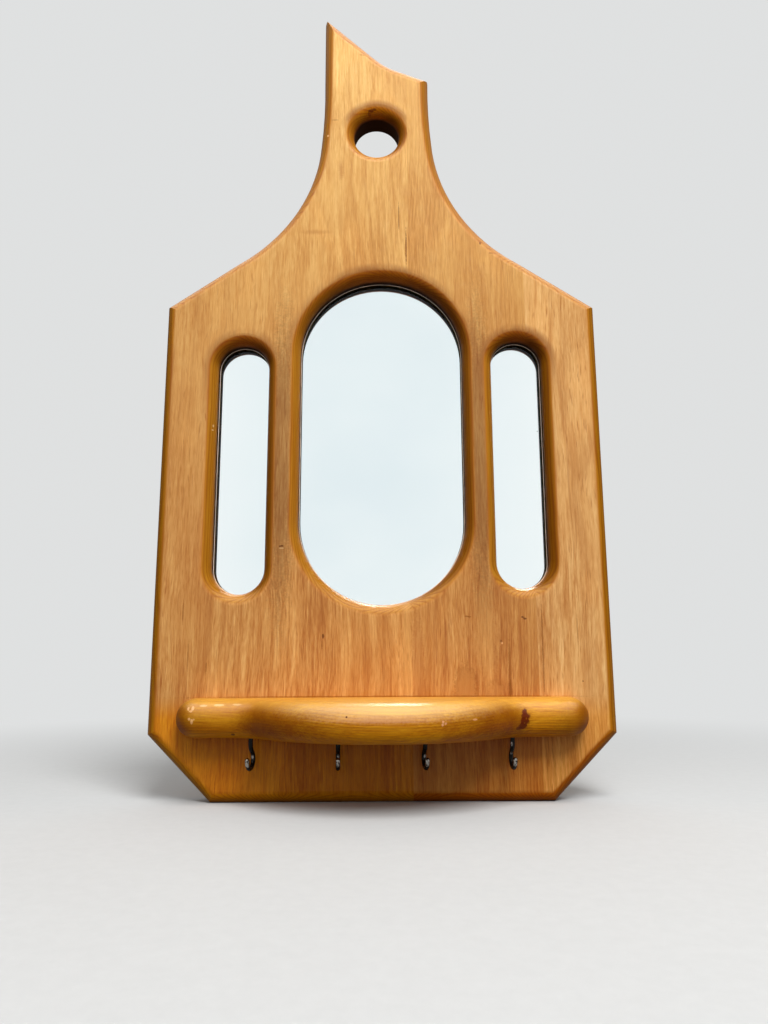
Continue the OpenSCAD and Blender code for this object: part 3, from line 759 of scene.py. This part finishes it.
def bead_material():
    s = Shade("bead")
    wear = s.noise(s.coords(), (90.0, 90.0, 90.0), 3.0, 0.6)
    normal = s.split(s.add("NewGeometry").outputs["Normal"])
    # Painted shade on the upward faces
    lit = s.mix(s.ease(normal["Z"], 0.15, 0.60), BEAD_TONE, BEAD_UPPER_SHADE)
    base = s.mix(s.ease(wear, 0.42, 0.66), lit, s.tint(lit, 0.70))
    # The back is painted dark, and the silver reflects it as a dark line
    front = s.ease(normal["Y"], -0.05, -0.45)
    return s.surface(
        Base_Color=s.mix(front, BEAD_BACK_SHADE, base), Metallic=s.times(front, 0.25),
        Roughness=s.spread(front, 0.9, 0.3), Normal=s.bump(wear, 0.0001),
    )


def bead(side, material):
    """The thin line of lacquer where the rim meets the glass."""
    x, z, width, length = OPENINGS[side]
    r = width / 2 - BEAD_INSET
    straight = (length - width) / 2
    path = []
    for end, start in ((1, 0), (-1, math.pi)):
        for k in range(END_STEPS + 1):
            a = math.pi * k / END_STEPS + start
            path.append((x + r * math.cos(a), z + end * straight + r * math.sin(a), a))
    bm = bmesh.new()
    loops = []
    for px, pz, a in path:
        loop = []
        for k in range(BEAD_SIDES):
            b = 2 * math.pi * k / BEAD_SIDES
            out = BEAD_R * math.cos(b)
            y = GLASS_FRONT - BEAD_LIFT + BEAD_R * math.sin(b)
            loop.append(bm.verts.new((px + out * math.cos(a), y, pz + out * math.sin(a))))
        loops.append(loop)
    for one, two in zip(loops, loops[1:] + loops[:1]):
        for k in range(BEAD_SIDES):
            after = (k + 1) % BEAD_SIDES
            bm.faces.new((one[k], one[after], two[after], two[k]))
    bmesh.ops.recalc_face_normals(bm, faces=bm.faces)
    for face in bm.faces:
        face.smooth = True
    new_piece("bead_" + side, bm, material)


def dress_mirrors():
    dress(["mirror_left", "mirror_centre", "mirror_right"], glass())
    coat, line = silver(), bead_material()
    for side in OPENINGS:
        silvering(side, coat)
        bead(side, line)


# ---- Steel and hardboard ----

DARK_STEEL = (0.006, 0.004, 0.003)
BRIGHT_STEEL = (0.55, 0.54, 0.52)
# Painted glints on the black of the hooks, and where it is worn off: pits and bare steel
GLINTS = ((252.6, 757), (338.2, 756), (424.6, 755.7), (511.4, 753), (511.6, 744))
GLINT_HALF = (0.7 * MM, 1.2 * MM, 1.3 * MM)
GLINT_TONES = ((0.12, 0.11, 0.10), (0.34, 0.32, 0.30))
TIP_HALF = (3.2 * MM, 2.0 * MM, 3.6 * MM)
TIP_TONES = ((0.03, 0.026, 0.022), (0.30, 0.28, 0.25))
HARDBOARD_DARK = (0.26, 0.150, 0.082)
HARDBOARD_LIGHT = (0.44, 0.27, 0.155)
HARDBOARD_FLECK = (0.58, 0.41, 0.26)


def steel(name, tone, metallic, roughness, ior=1.5, marks=()):
    s = Shade(name)
    scuff = s.noise(s.coords(), (700.0, 700.0, 700.0), 3.0, 0.6)
    base = s.mix(scuff, tuple(0.75 * c for c in tone), tuple(min(1.0, 1.25 * c) for c in tone))
    shiny = metallic
    # Marks at the tips are worn to bare steel, and the others are painted glints
    for mark, pit, shine in marks:
        worn = spot(s, mark)
        bare_and_glint = s.mix(s.ease(scuff, 0.40, 0.52), pit, shine)
        base = s.mix(worn, base, bare_and_glint)
        shiny = s.math("MAXIMUM", shiny, worn)
    rough = s.spread(scuff, roughness - 0.08, roughness + 0.08)
    return s.surface(
        Base_Color=base, Metallic=shiny, IOR=ior, Roughness=rough, Normal=s.bump(scuff, 0.00002)
    )


def hardboard():
    s = Shade("hardboard")
    felt = s.noise(s.coords(), (420.0, 420.0, 420.0), 4.0, 0.7)
    fleck = s.ease(s.noise(s.coords(), (1300.0, 1300.0, 500.0), 2.0), 0.62, 0.74)
    base = s.mix(felt, HARDBOARD_DARK, HARDBOARD_LIGHT)
    base = s.mix(s.times(fleck, 0.5), base, HARDBOARD_FLECK)
    return s.surface(Base_Color=base, Roughness=0.85, Normal=s.bump(felt, 0.0001))


def dress_fittings():
    hooks = ["hook_1", "hook_2", "hook_3", "hook_4"]
    marks = [((seen_at(x, y), GLINT_HALF, 0.8), *GLINT_TONES) for x, y in GLINTS]
    for hook in hooks:
        low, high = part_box(hook)
        tip = ((low.x + high.x) / 2, low.y + 0.6 * MM, low.z + 6.0 * MM)
        marks.append(((tip, TIP_HALF, 0.3), *TIP_TONES))
    dress(hooks, steel("dark_steel", DARK_STEEL, 0.0, 0.14, 1.20, marks))
    dress(["backing_pins", "shelf_screws"], steel("bright_steel", BRIGHT_STEEL, 1.0, 0.35))
    dress(["backing_left", "backing_centre", "backing_right"], hardboard())


# ---- Floor, world and light ----

BACKGROUND = (0.74, 0.75, 0.75)
FLOOR_TONE = (0.58, 0.585, 0.58)
FLOOR_DIM = (0.14, 0.14, 0.135)
FLOOR_REACH = 6.0
FLOOR_STEPS = 72
# How far from the object the floor runs into the background
FLOOR_ENDS = (0.22, 0.85)
BACK_LIGHT = 0.95
SIDE_LIGHT = 0.12
# What the mirrors and the lacquer reflect: a cloudy sky, with a bright patch overhead
CLOUD_TONES = ((0.72, 0.82, 0.87), (0.96, 1.0, 1.0))
CLEAR_TONE = (0.97, 1.0, 1.0)
LOW_SHINE = (0.22, 0.22, 0.215)
OVERHEAD = (3.6, 3.6, 3.5)
LAMP_SIZE = (0.7, 1.1)
LAMP_WATTS = 31
LAMP_AIM = (0.0, 0.0, -0.2)
LAMP_FAR = 1.6


def ray_kinds(s):
    """1 for what the camera sees directly, and 1 for what it sees in metal or through glass."""
    path = s.add("LightPath").outputs
    mirrored = s.math("MAXIMUM", path["Is Glossy Ray"], path["Is Transmission Ray"])
    return path["Is Camera Ray"], mirrored


def make_floor():
    mesh = bpy.data.meshes.new("floor")
    turns = [2 * math.pi * k / FLOOR_STEPS for k in range(FLOOR_STEPS)]
    edge = [(FLOOR_REACH * math.cos(a), FLOOR_REACH * math.sin(a), cad_low.z) for a in turns]
    mesh.from_pydata(edge, [], [tuple(range(FLOOR_STEPS))])
    floor = bpy.data.objects.new("floor", mesh)
    bpy.context.scene.collection.objects.link(floor)

    s = Shade("floor")
    speckle = s.noise(s.coords(), (160.0, 160.0, 160.0), 3.0, 0.6)
    tone = s.tint(colour(FLOOR_TONE), s.spread(speckle, 0.96, 1.04))
    seen = s.math("MAXIMUM", *ray_kinds(s))
    tone = s.mix(seen, FLOOR_DIM, tone)
    diffuse = s.add("BsdfDiffuse", {"Color": tone})
    glow = s.add("Emission", {"Color": colour(BACKGROUND), "Strength": seen})
    far = s.vector("LENGTH", s.vector("MULTIPLY", s.coords(), (1.0, 1.0, 0.0)))
    far = s.ease(far, *FLOOR_ENDS)
    blend = s.add("MixShader", {0: far, 1: diffuse.outputs[0], 2: glow.outputs[0]})
    out = s.add("OutputMaterial")
    s.tree.links.new(blend.outputs[0], out.inputs["Surface"])
    mesh.materials.append(s.block)


def make_world():
    s = Shade("studio", world=True)
    toward = s.add("TexCoord").outputs["Generated"]
    x, y, z = s.split(toward)
    height = s.vector("DOT_PRODUCT", toward, SKY_AXIS)
    sky = s.ramp(s.ease(height, -0.10, 1.0), [(0.0, 0.04), (0.35, 0.12), (0.70, 0.48), (1.0, 1.00)])
    sky = s.tint(sky, s.spread(s.ease(z, -0.25, 0.10), 0.25, 1.0))
    back = s.times(s.ease(y, 0.10, 0.60), BACK_LIGHT)
    lit = s.mix(1.0, sky, s.join(back, back, back), blend="LIGHTEN")
    aside = s.math("ABSOLUTE", x)
    lit = s.tint(lit, s.spread(s.ease(aside, 0.25, 0.85), 1.0, SIDE_LIGHT))

    cloud = s.noise(toward, (3.5, 3.5, 6.0), 3.0, 0.5)
    bright = s.mix(cloud, *CLOUD_TONES)
    bright = s.mix(s.ease(aside, 0.05, 0.30), bright, CLEAR_TONE)
    shine = s.mix(s.ease(height, 0.15, 0.55), LOW_SHINE, bright)
    overhead = s.times(s.ease(z, 0.42, 0.95), s.ease(y, 0.65, 0.40))
    shine = s.mix(overhead, shine, OVERHEAD)
    direct, mirrored = ray_kinds(s)
    tone = s.mix(mirrored, lit, shine)
    tone = s.mix(direct, tone, BACKGROUND)
    background = s.add("Background", {"Color": tone, "Strength": 1.0})
    out = s.add("OutputWorld")
    s.tree.links.new(background.outputs[0], out.inputs["Surface"])
    bpy.context.scene.world = s.block


def make_light():
    data = bpy.data.lights.new("softbox", "AREA")
    data.shape = "RECTANGLE"
    data.size, data.size_y = LAMP_SIZE
    data.energy = LAMP_WATTS
    lamp = bpy.data.objects.new("softbox", data)
    axis = Vector(LAMP_AXIS).normalized()
    lamp.visible_glossy = False
    lamp.location = Vector(LAMP_AIM) + LAMP_FAR * axis
    lamp.rotation_mode = "QUATERNION"
    lamp.rotation_quaternion = axis.to_track_quat("Z", "Y")
    bpy.context.scene.collection.objects.link(lamp)


make_camera()
dress_wood()
dress_mirrors()
dress_fittings()
make_floor()
make_world()
make_light()

bpy.context.scene.view_settings.view_transform = "Standard"
